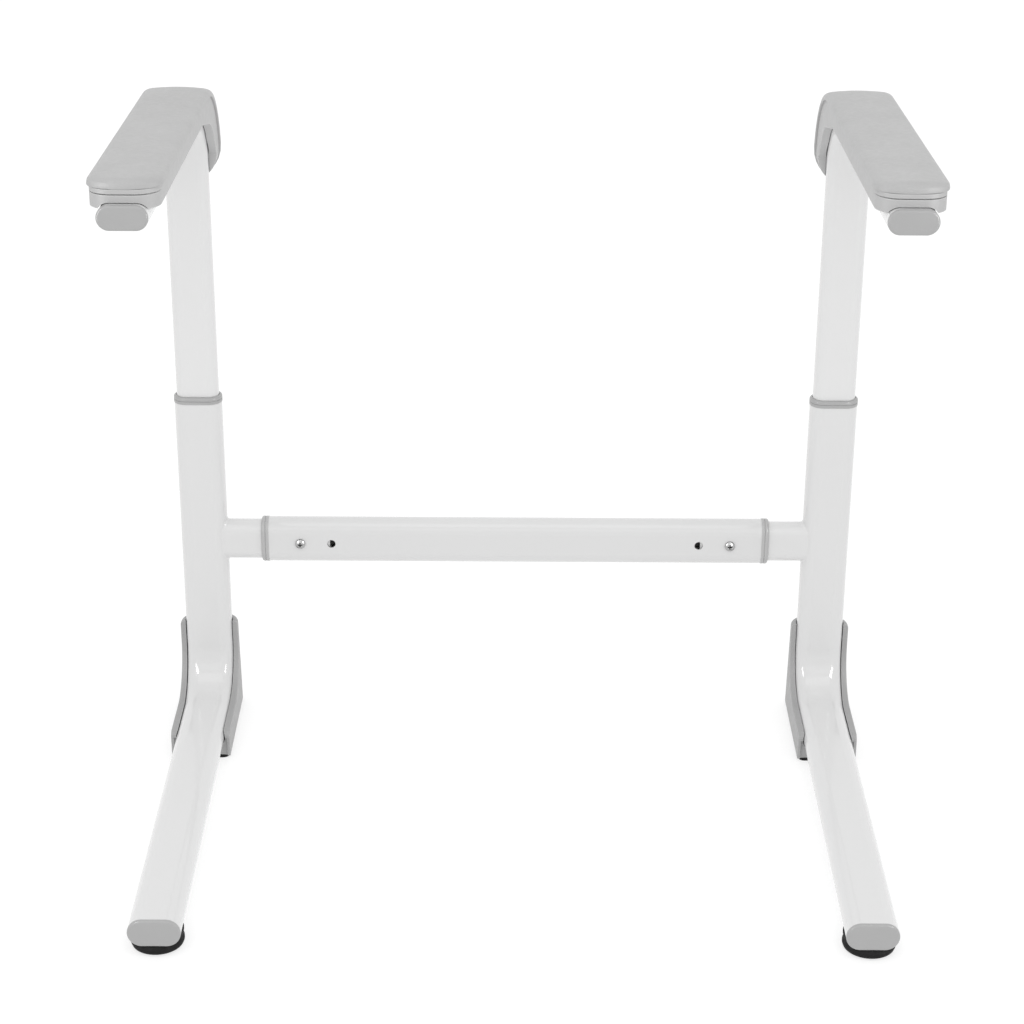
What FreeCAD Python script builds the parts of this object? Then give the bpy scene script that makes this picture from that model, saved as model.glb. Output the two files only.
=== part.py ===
import FreeCAD, Part
import math
import os

import Sketcher
from FreeCAD import Placement, Rotation, Vector

# Free-standing toilet safety frame. Frame of the part: X to the right seen from the open front,
# Y away from the open front, Z up. The origin is on the floor under the middle of the frame.
# Sketches are drawn from the post axes, and every body stands post_back behind the origin.

doc = FreeCAD.newDocument("toilet_safety_frame")

# ---------------------------------------------------------------- driving dimensions

DIMENSIONS = [
    ("post_spacing", 600, "between the post axes at the wide setting"),
    ("post_back", 204, "post axes behind the middle of the frame"),
    ("lower_width", 45, "flat-oval tube of the lower frame and the crossbar sleeve"),
    ("lower_depth", 25, ""),
    ("lower_wall", 1.5, ""),
    ("upper_width", 40, "flat-oval tube of the arm and the cross stub"),
    ("upper_depth", 20, ""),
    ("upper_wall", 1.2, ""),
    ("bend_radius", 50, "axis of every tube bend"),
    ("lower_top", 328, "top end of the lower tube"),
    ("foot_axis", 22, "height of the foot tube's axis"),
    ("foot_reach", 437, "post axis to the face of the foot cap"),
    ("arm_bend_base", 560, "where the upper tube starts to bend forward"),
    ("arm_slope", 2.2, "degrees that the arm rises to its front end"),
    ("arm_reach", 375, "post axis to the face of the arm cap"),
    ("upper_bottom", 150, "lower end of the upper tube at the lowest setting"),
    ("height_travel", 100, "height adjustment"),
    ("height_pitch", 25, "between two height settings"),
    ("cross_height", 185, "axis of the crossbar"),
    ("sleeve_length", 475, "crossbar sleeve without its collars"),
    ("stub_end", 178.5, "free end of a cross stub, from the middle of the crossbar"),
    ("width_screw_place", 207, "outer lock hole, from the middle of the crossbar"),
    ("width_travel", 30, "each side frame slides this far inward"),
    ("lock_hole", 8.1, "lock holes of the crossbar sleeve"),
    ("height_screw_place", 288, "height of the lock screw of the upper tube"),
    ("collar_flange", 7, "visible height of a tube collar"),
    ("collar_liner", 25, "collar length inside its tube"),
    ("running_gap", 0.3, "between a sliding tube and its guides"),
    ("press_gap", 0.05, "between a plastic insert and its tube"),
    ("cap_flange", 3.5, "visible thickness of an end cap"),
    ("cap_plug", 11, "end cap length inside the tube"),
    ("head_width", 9.5, "pan head of a lock screw"),
    ("head_depth", 3.4, ""),
    ("shank_width", 5, "thread of the lock and armrest screws"),
    ("guard_width", 56, "heel guard"),
    ("guard_top", 97, ""),
    ("guard_front", 104, "front end of the heel guard, forward of the post axis"),
    ("guard_heel", 20, "rear of the heel guard, behind the post axis"),
    ("guard_lip", 6, "side walls above the foot tube's axis"),
    ("guard_thread", 4.4, "screws of the heel guard"),
    ("guard_head", 8, ""),
    ("guard_head_depth", 2.4, ""),
    ("guard_screw_height", 84, "screw behind the post"),
    ("guard_screw_forward", 72, "screw under the foot tube, forward of the post axis"),
    ("heel_pad_height", 3, "rubber under the heel guard"),
    ("rubber_foot_place", 415, "rubber foot, forward of the post axis"),
    ("foot_thread", 6, "screw of the rubber foot"),
    ("foot_nut", 5, "height of its nut"),
    ("foot_screw_seat", 4, "height of the screw's seat above the floor"),
    ("base_width", 55, "armrest base"),
    ("base_low", 5.5, "lower edge of the armrest base above the arm's axis"),
    ("base_high", 20.7, "top of the armrest base above the arm's axis"),
    ("cushion_width", 59, "armrest cushion"),
    ("cushion_low", 21, "underside of the cushion above the arm's axis"),
    ("cushion_high", 29, "top of the cushion above the arm's axis"),
    ("pad_front", 369, "front end of the armrest, forward of the post axis"),
    ("pad_drop", 542, "lower end of the armrest behind the post"),
    ("pad_corner", 19, "corner radius of the armrest seen from above"),
    ("drop_corner", 25, "corner radius of its lower end"),
    ("base_edge", 4, "front edge of the armrest base beside the post, behind the post axis"),
    ("base_seam", 16.4, "seam round the front of the armrest base, above the arm's axis"),
    ("shadow_gap", 0.8, "dark joint that shows between a tube and the plastic round it"),
]

sheet = doc.addObject("Spreadsheet::Sheet", "sizes")
for row, (alias, value, note) in enumerate(DIMENSIONS, start=1):
    sheet.set("A%d" % row, alias.replace("_", " "))
    sheet.set("B%d" % row, str(value))
    sheet.setAlias("B%d" % row, alias)
    sheet.set("C%d" % row, note)
doc.recompute()


class Size:
    """A number together with the sheet expression that gives it."""

    def __init__(self, value, text):
        self.value = value
        self.text = text

    def __add__(self, other):
        other = as_size(other)
        return Size(self.value + other.value, "(%s + %s)" % (self.text, other.text))

    def __sub__(self, other):
        other = as_size(other)
        return Size(self.value - other.value, "(%s - %s)" % (self.text, other.text))

    def __mul__(self, other):
        other = as_size(other)
        return Size(self.value * other.value, "(%s * %s)" % (self.text, other.text))

    def __truediv__(self, other):
        other = as_size(other)
        return Size(self.value / other.value, "(%s / %s)" % (self.text, other.text))

    def __neg__(self):
        return Size(-self.value, "(0 - %s)" % self.text)


def as_size(number):
    if isinstance(number, Size):
        return number
    return Size(number, repr(float(number)))


def dim(alias):
    return Size(float(sheet.get(alias)), "sizes." + alias)


# Sizes that several pieces share.
post_x = dim("post_spacing") / 2
lower_inner_width = dim("lower_width") - dim("lower_wall") * 2
lower_inner_depth = dim("lower_depth") - dim("lower_wall") * 2
upper_inner_width = dim("upper_width") - dim("upper_wall") * 2
upper_inner_depth = dim("upper_depth") - dim("upper_wall") * 2
sleeve_end = dim("sleeve_length") / 2
foot_tube_end = dim("foot_reach") - dim("cap_flange")
slope = math.radians(dim("arm_slope").value)

thread_gap = 0.1

SIDES = (("left", -1), ("right", 1))

# ---------------------------------------------------------------- sketch helpers


nodes = []


def new_body(label, x=None):
    """A body with its own label, in the posts' plane and moved sideways by x."""
    body = doc.addObject("PartDesign::Body", label)
    body.Label = label
    body.setExpression("Placement.Base.y", "sizes.post_back")
    if x is not None:
        body.setExpression("Placement.Base.x", x.text)
    nodes.append(body)
    return body


def one_node(label, bodies):
    """Several loose pieces of one kind that count as one node."""
    group = doc.addObject("Part::Compound", label)
    group.Label = label
    group.Links = bodies
    for body in bodies:
        nodes.remove(body)
    nodes.append(group)


def new_sketch(body, role, name, lift=None):
    """A sketch on one of the body's origin planes, lifted along the plane's normal."""
    sketch = body.newObject("Sketcher::SketchObject", name)
    plane = [item for item in body.Origin.OriginFeatures if item.Role == role][0]
    sketch.AttachmentSupport = [(plane, "")]
    sketch.MapMode = "FlatFace"
    if lift is not None:
        sketch.setExpression(".AttachmentOffset.Base.z", as_size(lift).text)
    return sketch


def fix_size(sketch, name, size, *where):
    """A named distance or radius that follows the sheet."""
    size = as_size(size)
    index = sketch.addConstraint(Sketcher.Constraint(*where, size.value))
    sketch.renameConstraint(index, name)
    sketch.setExpression("Constraints." + name, size.text)


def fix_point(sketch, name, edge, end, x, y):
    """Holds one end of an edge at a place in the sketch."""
    x, y = as_size(x), as_size(y)
    if abs(x.value) < 1e-9:
        sketch.addConstraint(Sketcher.Constraint("PointOnObject", edge, end, -2))
    else:
        fix_size(sketch, name + "_x", x, "DistanceX", -1, 1, edge, end)
    if abs(y.value) < 1e-9:
        sketch.addConstraint(Sketcher.Constraint("PointOnObject", edge, end, -1))
    else:
        fix_size(sketch, name + "_y", y, "DistanceY", -1, 1, edge, end)


def add_obround(sketch, name, width, depth, x=0, y=0, upright=False):
    """A flat oval, long along the sketch's x, or along its y when upright."""
    width, depth = as_size(width), as_size(depth)
    x, y = as_size(x), as_size(y)
    radius = depth / 2
    half = (width - depth) / 2
    along = Vector(0, 1, 0) if upright else Vector(1, 0, 0)
    across = Vector(-1, 0, 0) if upright else Vector(0, 1, 0)
    centre = Vector(x.value, y.value, 0)
    far = centre + along * half.value
    near = centre - along * half.value
    rise = across * radius.value
    first = sketch.addGeometry(Part.LineSegment(far + rise, near + rise), False)
    tips = ((near, near + rise, near - along * radius.value, near - rise),
            (far, far - rise, far + along * radius.value, far + rise))
    sketch.addGeometry(Part.Arc(*tips[0][1:]), False)
    sketch.addGeometry(Part.LineSegment(near - rise, far - rise), False)
    sketch.addGeometry(Part.Arc(*tips[1][1:]), False)
    line_a, arc_near, line_b, arc_far = range(first, first + 4)
    # Arcs run counter-clockwise, so an arc made clockwise has its ends the other way round.
    for line, line_end, arc in ((line_a, 2, arc_near), (line_b, 1, arc_near),
                                (line_b, 2, arc_far), (line_a, 1, arc_far)):
        arc_end = matching_end(sketch, line, line_end, arc)
        sketch.addConstraint(Sketcher.Constraint("Tangent", line, line_end, arc, arc_end))
    direction = "DistanceY" if upright else "DistanceX"
    fix_size(sketch, name + "_radius", radius, "Radius", arc_far)
    if half.value > 1e-6:
        fix_size(sketch, name + "_span", half * 2, direction, arc_near, 3, arc_far, 3)
    sketch.addConstraint(Sketcher.Constraint("Vertical" if upright else "Horizontal", line_a))
    place = (x - half, y) if not upright else (x, y - half)
    fix_point(sketch, name + "_place", arc_near, 3, *place)


def matching_end(sketch, line, line_end, arc):
    """Which end of the arc meets that end of the line."""
    return end_at(sketch, arc, sketch.getPoint(line, line_end))


def add_circle(sketch, name, diameter, x=0, y=0):
    x, y, diameter = as_size(x), as_size(y), as_size(diameter)
    centre = Vector(x.value, y.value, 0)
    edge = sketch.addGeometry(Part.Circle(centre, Vector(0, 0, 1), diameter.value / 2), False)
    fix_size(sketch, name + "_diameter", diameter, "Diameter", edge)
    fix_point(sketch, name, edge, 3, x, y)


def add_outline(sketch, name, points):
    """A closed outline through (x, y) points. Where an arc starts, the point also gives the
    arc's centre and radius: (x, y, centre_x, centre_y, radius)."""
    points = [[as_size(number) for number in point] for point in points]
    flat = [Vector(point[0].value, point[1].value, 0) for point in points]
    edges = []
    for i, point in enumerate(points):
        start, end = flat[i], flat[(i + 1) % len(flat)]
        curve = Part.LineSegment(start, end)
        if len(point) > 2:
            centre = Vector(point[2].value, point[3].value, 0)
            bulge = (start + end) / 2 - centre
            bulge.normalize()
            curve = Part.Arc(start, centre + bulge * point[4].value, end)
        edges.append(sketch.addGeometry(curve, False))
    for i, edge in enumerate(edges):
        following = edges[(i + 1) % len(edges)]
        corner = flat[(i + 1) % len(flat)]
        sketch.addConstraint(Sketcher.Constraint("Coincident", edge, end_at(sketch, edge, corner),
                                                 following, end_at(sketch, following, corner)))
        fix_point(sketch, "%s_%d" % (name, i), edge, end_at(sketch, edge, flat[i]), *points[i][:2])
        if len(points[i]) > 2:
            fix_size(sketch, "%s_%d_radius" % (name, i), points[i][4], "Radius", edge)


def end_at(sketch, edge, place):
    """Which end of an edge lies at that place."""
    gaps = [(sketch.getPoint(edge, end) - place).Length for end in (1, 2)]
    return 1 if gaps[0] < gaps[1] else 2


def add_rectangle(sketch, name, x0, y0, x1, y1):
    add_outline(sketch, name, [(x0, y0), (x1, y0), (x1, y1), (x0, y1)])


def volume(body):
    """The body's volume now, once its last feature is known to have worked."""
    doc.recompute()
    if body.Tip is not None and ("Invalid" in body.Tip.State or "Error" in body.Tip.State):
        raise RuntimeError("%s of %s failed" % (body.Tip.Name, body.Label))
    return body.Shape.Volume


def add_feature(body, kind, name, sketch, length=None, reverse=False, middle=False, through=False):
    """A pad, pocket or revolution of one sketch."""
    feature = body.newObject("PartDesign::" + kind, name)
    feature.Profile = sketch
    sketch.Visibility = False
    if middle:
        feature.SideType = "Symmetric"
    if through:
        feature.Type = "ThroughAll"
    if length is not None:
        feature.setExpression("Length", as_size(length).text)
    feature.Reversed = reverse
    body.Tip = feature
    return feature


def pad(body, name, sketch, length, reverse=False, middle=False):
    before = volume(body) if body.Tip else 0
    feature = add_feature(body, "Pad", name, sketch, length, reverse, middle)
    if volume(body) <= before:
        raise RuntimeError("%s adds nothing" % name)
    return feature


def pocket(body, name, sketch, length=None, reverse=False, middle=False):
    """Cuts with the sketch, and makes sure that something was cut."""
    before = volume(body)
    feature = add_feature(body, "Pocket", name, sketch, length, reverse, middle, length is None)
    if volume(body) >= before - 1e-6:
        raise RuntimeError("%s cuts nothing" % name)
    return feature


def edges_where(body, test):
    """Names of the tip's edges whose middle point and direction pass the test."""
    doc.recompute()
    names = []
    for number, edge in enumerate(body.Shape.Edges, start=1):
        middle = edge.valueAt((edge.FirstParameter + edge.LastParameter) / 2)
        local = body.Placement.inverse().multVec(middle)
        if test(local, edge):
            names.append("Edge%d" % number)
    return names


def round_edges(body, name, radius, test, kind="Fillet"):
    """A fillet or chamfer on the edges that pass the test."""
    names = edges_where(body, test)
    if not names:
        raise RuntimeError("%s finds no edge" % name)
    base = body.Tip
    feature = body.newObject("PartDesign::" + kind, name)
    feature.Base = (base, names)
    feature.setExpression("Radius" if kind == "Fillet" else "Size", as_size(radius).text)
    body.Tip = feature
    volume(body)
    return feature


def along_axis(edge, axis, slack=0.02):
    """True for a straight edge along X, Y or Z."""
    if not isinstance(edge.Curve, (Part.Line, Part.LineSegment)):
        return False
    run = edge.Vertexes[-1].Point - edge.Vertexes[0].Point
    return abs(abs(run[axis]) - run.Length) < slack * run.Length


def pipe(body, name, profile, spine, kind="AdditivePipe"):
    before = volume(body) if body.Tip else 0
    feature = body.newObject("PartDesign::" + kind, name)
    feature.Profile = profile
    feature.Spine = (spine, [])
    feature.Mode = "Standard"
    profile.Visibility = False
    spine.Visibility = False
    body.Tip = feature
    if abs(volume(body) - before) < 1:
        raise RuntimeError("%s changes nothing" % name)
    return feature


# ---------------------------------------------------------------- tube paths

def foot_path(body, name, top, reach):
    """Down the post, round the bend and forward along the foot."""
    sketch = new_sketch(body, "YZ_Plane", name)
    radius, low = dim("bend_radius"), dim("foot_axis")
    r, z, y = radius.value, low.value, -as_size(reach).value
    post = sketch.addGeometry(Part.LineSegment(Vector(0, as_size(top).value, 0), Vector(0, z + r, 0)))
    turn = math.sqrt(0.5) * r
    bend = sketch.addGeometry(Part.Arc(Vector(0, z + r, 0), Vector(-r + turn, z + r - turn, 0),
                                       Vector(-r, z, 0)))
    foot = sketch.addGeometry(Part.LineSegment(Vector(-r, z, 0), Vector(y, z, 0)))
    for line, line_end in ((post, 2), (foot, 1)):
        sketch.addConstraint(Sketcher.Constraint(
            "Tangent", line, line_end, bend, matching_end(sketch, line, line_end, bend)))
    fix_size(sketch, "bend", radius, "Radius", bend)
    sketch.addConstraint(Sketcher.Constraint("Horizontal", foot))
    fix_point(sketch, "top", post, 1, 0, top)
    sketch.addConstraint(Sketcher.Constraint("PointOnObject", post, 2, -2))
    fix_point(sketch, "front", foot, 2, -as_size(reach), low)
    return sketch


def arm_path(body, name, bottom, reach):
    """Up the post, round the bend and forward along the slightly rising arm."""
    sketch = new_sketch(body, "YZ_Plane", name)
    radius, base = dim("bend_radius"), dim("arm_bend_base")
    r, z = radius.value, base.value
    reach = as_size(reach)
    half = math.radians(45) - slope / 2
    end = Vector(-r + r * math.sin(slope), z + r * math.cos(slope), 0)
    front = Vector(-reach.value, end.y + (reach.value + end.x) * math.tan(slope), 0)
    post = sketch.addGeometry(Part.LineSegment(Vector(0, as_size(bottom).value, 0), Vector(0, z, 0)))
    bend = sketch.addGeometry(Part.Arc(Vector(0, z, 0),
                                       Vector(-r + r * math.cos(half), z + r * math.sin(half), 0), end))
    arm = sketch.addGeometry(Part.LineSegment(end, front))
    for line, line_end in ((post, 2), (arm, 1)):
        sketch.addConstraint(Sketcher.Constraint(
            "Tangent", line, line_end, bend, matching_end(sketch, line, line_end, bend)))
    fix_size(sketch, "bend", radius, "Radius", bend)
    fix_point(sketch, "bottom", post, 1, 0, bottom)
    fix_point(sketch, "corner", post, 2, 0, base)
    fix_size(sketch, "reach", -reach, "DistanceX", -1, 1, arm, 2)
    index = sketch.addConstraint(Sketcher.Constraint("Angle", -1, arm, math.pi - slope))
    sketch.renameConstraint(index, "rise")
    sketch.setExpression("Constraints.rise", "180 - sizes.arm_slope")
    return sketch


# ---------------------------------------------------------------- the arm's own frame

# The arm's axis meets the post's axis at arm_origin; heights on the arm are square to it.
rise_sin = Size(math.sin(slope), "sin(sizes.arm_slope * 1 deg)")
rise_cos = Size(math.cos(slope), "cos(sizes.arm_slope * 1 deg)")
bend_x = -dim("bend_radius")
arm_origin = (dim("arm_bend_base") + dim("bend_radius") * rise_cos
              - (dim("bend_radius") - dim("bend_radius") * rise_sin) * Size(math.tan(slope),
                                                                          "tan(sizes.arm_slope * 1 deg)"))


def arm_point(forward, up):
    """Place beside the arm in the YZ plane: forward along its axis, up square to it."""
    forward, up = as_size(forward), as_size(up)
    return (up * rise_sin - forward * rise_cos, arm_origin + forward * rise_sin + up * rise_cos)


def bend_point(up):
    """Place on the same offset where the arm's straight ends and the bend starts."""
    radius = dim("bend_radius") + up
    return (bend_x + radius * rise_sin, dim("arm_bend_base") + radius * rise_cos)


def arm_sketch(body, name, up=0.0):
    """A sketch square to the arm's height, its y axis pointing back along the arm."""
    sketch = new_sketch(body, "XY_Plane", name)
    y, z = arm_point(0, up)
    sketch.AttachmentOffset = Placement(Vector(0, y.value, z.value),
                                        Rotation(Vector(1, 0, 0), -dim("arm_slope").value))
    sketch.setExpression(".AttachmentOffset.Base.y", y.text)
    sketch.setExpression(".AttachmentOffset.Base.z", z.text)
    return sketch


# ---------------------------------------------------------------- small parts used several times


def place(body, x=None, y=None, z=None, turn=None):
    """Puts a body made about its own Z axis in its place."""
    if turn is not None:
        body.Placement = Placement(Vector(0, 0, 0), turn)
    if y is not None:
        y = as_size(y) + dim("post_back")
    for axis, size in (("x", x), ("y", y), ("z", z)):
        if size is not None:
            body.setExpression("Placement.Base." + axis, as_size(size).text)
    doc.recompute()


FACING_FRONT = Rotation(Vector(1, 0, 0), 90)
FACING_BACK = Rotation(Vector(1, 0, 0), -90)
FACING_DOWN = Rotation(Vector(1, 0, 0), 180)


def tube_collar(label):
    """Bush pressed into a tube end, with a grooved flange that carries the sliding tube."""
    body = new_body(label)
    lip, edge_radius = 0.6, 2.2
    flange_width, flange_depth = dim("lower_width") + lip, dim("lower_depth") + lip
    sketch = new_sketch(body, "XY_Plane", "flange_outline")
    add_obround(sketch, "flange", flange_width, flange_depth)
    pad(body, "flange", sketch, dim("collar_flange"))
    round_edges(body, "flange_edge", edge_radius,
                lambda place, edge: place.z > dim("collar_flange").value - 0.01)
    sketch = new_sketch(body, "XY_Plane", "liner_outline")
    add_obround(sketch, "liner", lower_inner_width - dim("press_gap") * 2,
                lower_inner_depth - dim("press_gap") * 2)
    pad(body, "liner", sketch, dim("collar_liner"), reverse=True)
    sketch = new_sketch(body, "XY_Plane", "bore_outline", dim("collar_flange"))
    add_obround(sketch, "bore", dim("upper_width") + dim("running_gap") * 2,
                dim("upper_depth") + dim("running_gap") * 2)
    pocket(body, "bore", sketch)
    groove_depth, groove_width = 0.5, 0.8
    sketch = new_sketch(body, "XY_Plane", "groove_outline", dim("collar_flange") / 2)
    add_obround(sketch, "outside", flange_width + 2, flange_depth + 2)
    add_obround(sketch, "floor", flange_width - groove_depth * 2, flange_depth - groove_depth * 2)
    pocket(body, "groove", sketch, groove_width)
    return body


def end_cap(label, width, depth, wall):
    """Plastic cap that closes a tube end: a rounded flange and a hollow plug."""
    body = new_body(label)
    edge_radius, plug_wall = 2, 2
    sketch = new_sketch(body, "XY_Plane", "flange_outline")
    add_obround(sketch, "flange", width, depth)
    pad(body, "flange", sketch, dim("cap_flange"))
    round_edges(body, "flange_edge", edge_radius,
                lambda place, edge: place.z > dim("cap_flange").value - 0.01)
    plug_width = width - wall * 2 - dim("press_gap") * 2
    plug_depth = depth - wall * 2 - dim("press_gap") * 2
    sketch = new_sketch(body, "XY_Plane", "plug_outline")
    add_obround(sketch, "plug", plug_width, plug_depth)
    pad(body, "plug", sketch, dim("cap_plug"), reverse=True)
    sketch = new_sketch(body, "XY_Plane", "hollow_outline", -dim("cap_plug"))
    add_obround(sketch, "hollow", plug_width - plug_wall * 2, plug_depth - plug_wall * 2)
    pocket(body, "hollow", sketch, dim("cap_plug"), reverse=True)
    return body


def pan_screw(label, length, shoulder=0.0, kind=("head_width", "head_depth", "shank_width")):
    """Pan-head screw with a cross recess, its head on +Z and its seat at zero."""
    body = new_body(label)
    head, deep, thread = dim(kind[0]) / 2, dim(kind[1]), dim(kind[2]) / 2
    step, length = as_size(shoulder), as_size(length)
    sketch = new_sketch(body, "XZ_Plane", "half_section")
    dome_radius = head * 1.35
    rim = dome_radius - Size(math.sqrt(dome_radius.value ** 2 - head.value ** 2),
                             "sqrt(%s ^ 2 - %s ^ 2)" % (dome_radius.text, head.text))
    points = [(0, deep, 0, deep - dome_radius, dome_radius), (head, deep - rim), (head, 0)]
    if step.value > 0:
        fit = dim("lock_hole") / 2 - 0.1
        points += [(fit, 0), (fit, -step), (thread, -step)]
    else:
        points += [(thread, 0)]
    tip = as_size(0.8)
    points += [(thread, tip - length), (thread - tip, -length), (0, -length)]
    add_outline(sketch, "profile", points)
    revolve(body, "turned", sketch)
    cross = new_sketch(body, "XY_Plane", "recess_outline", deep)
    arm, half, recess = head * 0.48, 0.6, deep * 0.56
    add_outline(cross, "cross", [(arm, -half), (arm, half), (half, half), (half, arm), (-half, arm),
                                 (-half, half), (-arm, half), (-arm, -half), (-half, -half),
                                 (-half, -arm), (half, -arm), (half, -half)])
    pocket(body, "recess", cross, recess)
    return body


def revolve(body, name, sketch):
    """A full turn of a half section about the sketch's vertical axis."""
    feature = body.newObject("PartDesign::Revolution", name)
    feature.Profile = sketch
    feature.ReferenceAxis = (sketch, ["V_Axis"])
    feature.Angle = 360
    sketch.Visibility = False
    body.Tip = feature
    if volume(body) <= 0:
        raise RuntimeError("%s is empty" % name)
    return feature


def lock_plate(label):
    """Threaded steel plate that a lock screw pulls against the inside of a tube."""
    body = new_body(label)
    half_width, half_length, thick, corner = 6, 11, 3, 1.5
    sketch = new_sketch(body, "XY_Plane", "plate_outline")
    add_rectangle(sketch, "plate", -half_width, -half_length, half_width, half_length)
    add_circle(sketch, "thread", dim("shank_width") + thread_gap)
    pad(body, "plate", sketch, thick)
    round_edges(body, "plate_corners", corner, lambda place, edge: along_axis(edge, 2))
    return body


# ---------------------------------------------------------------- crossbar


def crossbar_sleeve():
    body = new_body("crossbar_sleeve")
    sketch = new_sketch(body, "YZ_Plane", "section")
    add_obround(sketch, "outer", dim("lower_width"), dim("lower_depth"), 0, dim("cross_height"), True)
    add_obround(sketch, "inner", lower_inner_width, lower_inner_depth, 0, dim("cross_height"), True)
    pad(body, "sleeve", sketch, dim("sleeve_length"), middle=True)
    holes = new_sketch(body, "XZ_Plane", "lock_holes")
    for name, side in SIDES:
        outer = dim("width_screw_place") * side
        inner = (dim("width_screw_place") - dim("width_travel")) * side
        add_circle(holes, "outer_" + name, dim("lock_hole"), outer, dim("cross_height"))
        add_circle(holes, "inner_" + name, dim("lock_hole"), inner, dim("cross_height"))
    pocket(body, "front_holes", holes, dim("lower_depth"), reverse=True)
    return body


def crossbar_fittings(name, side):
    """Collar, lock screw and threaded plate at one end of the sleeve."""
    collar = tube_collar("crossbar_collar_" + name)
    place(collar, sleeve_end * side, 0, dim("cross_height"), Rotation(Vector(0, 1, 0), 90 * side))
    screw = pan_screw("width_screw_" + name, lock_screw_length, dim("lower_wall"))
    place(screw, dim("width_screw_place") * side, -dim("lower_depth") / 2, dim("cross_height"),
          FACING_FRONT)
    plate = lock_plate("width_lock_plate_" + name)
    place(plate, dim("width_screw_place") * side, -plate_face, dim("cross_height"), FACING_BACK)


# The plate's outer face stands a running gap inside the inner tube's wall.
plate_face = upper_inner_depth / 2 - dim("running_gap")
lock_screw_length = dim("lower_depth") / 2 - plate_face + 4
slot_width = dim("shank_width") + 1
screw_clearance = 0.6

crossbar_sleeve()
for side_name, side_sign in SIDES:
    crossbar_fittings(side_name, side_sign)

# ---------------------------------------------------------------- lower frames


def lower_tube(name, side):
    """Post and foot, one flat-oval tube with a bend."""
    body = new_body("lower_tube_" + name, post_x * side)
    ring = new_sketch(body, "XY_Plane", "section", dim("lower_top"))
    add_obround(ring, "outer", dim("lower_width"), dim("lower_depth"))
    add_obround(ring, "inner", lower_inner_width, lower_inner_depth)
    spine = foot_path(body, "path", dim("lower_top"), foot_tube_end)
    pipe(body, "tube", ring, spine)
    rear = new_sketch(body, "XZ_Plane", "rear_holes")
    add_circle(rear, "lock", dim("lock_hole"), 0, dim("height_screw_place"))
    add_circle(rear, "guard", dim("guard_thread"), 0, dim("guard_screw_height"))
    pocket(body, "rear_hole", rear, dim("lower_depth"))
    under = new_sketch(body, "XY_Plane", "under_holes", dim("foot_axis"))
    add_circle(under, "foot", dim("foot_thread") + screw_clearance, 0, -dim("rubber_foot_place"))
    add_circle(under, "guard", dim("guard_thread"), 0, -dim("guard_screw_forward"))
    pocket(body, "under_hole", under, dim("lower_depth"))


def cross_stub(name, side):
    """Short tube welded square to the post; it slides in the crossbar sleeve."""
    body = new_body("cross_stub_" + name, post_x * side)
    ring = new_sketch(body, "YZ_Plane", "section")
    add_obround(ring, "outer", dim("upper_width"), dim("upper_depth"), 0, dim("cross_height"), True)
    add_obround(ring, "inner", upper_inner_width, upper_inner_depth, 0, dim("cross_height"), True)
    pad(body, "stub", ring, post_x - dim("stub_end"), reverse=side > 0)
    cope = new_sketch(body, "XY_Plane", "cope_outline", dim("cross_height"))
    add_obround(cope, "post", dim("lower_width"), dim("lower_depth"))
    pocket(body, "cope", cope, dim("upper_width") * 2, middle=True)
    slot = new_sketch(body, "XZ_Plane", "slot_outline")
    middle = post_x - dim("width_screw_place") - dim("width_travel") / 2
    add_obround(slot, "slot", dim("width_travel") + slot_width, slot_width, middle * -side,
                dim("cross_height"))
    pocket(body, "lock_slot", slot, dim("upper_depth"), reverse=True)


def on_obround(a, b, width, depth):
    """True where a point lies on a flat oval that is long along a."""
    straight = (width - depth) / 2
    beyond = max(abs(a) - straight, 0)
    return abs(math.hypot(beyond, b) - depth / 2) < 0.05


def weld_bead(name, side):
    """Painted weld fillet all round the stub where it meets the post."""
    body = new_body("weld_bead_" + name, post_x * side)
    height = dim("cross_height")
    post = new_sketch(body, "XY_Plane", "post_outline", height)
    add_obround(post, "post", dim("lower_width"), dim("lower_depth"))
    pad(body, "post_block", post, dim("upper_width") * 2, middle=True)
    stub = new_sketch(body, "YZ_Plane", "stub_outline")
    add_obround(stub, "stub", dim("upper_width"), dim("upper_depth"), 0, height, True)
    pad(body, "stub_block", stub, dim("lower_width"), reverse=side > 0)

    def at_joint(point, edge):
        return (on_obround(point.x, point.y, dim("lower_width").value, dim("lower_depth").value)
                and on_obround(point.z - height.value, point.y, dim("upper_width").value,
                               dim("upper_depth").value))

    bead_radius = 2.8
    round_edges(body, "bead", bead_radius, at_joint)
    inside = new_sketch(body, "XY_Plane", "post_core", height)
    add_obround(inside, "post", dim("lower_width"), dim("lower_depth"))
    add_feature(body, "Pocket", "without_post", inside, dim("upper_width") * 3, middle=True)
    core = new_sketch(body, "YZ_Plane", "stub_core")
    add_obround(core, "stub", dim("upper_width"), dim("upper_depth"), 0, height, True)
    pocket(body, "without_stub", core, dim("lower_width") * 2, reverse=side < 0)


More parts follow.
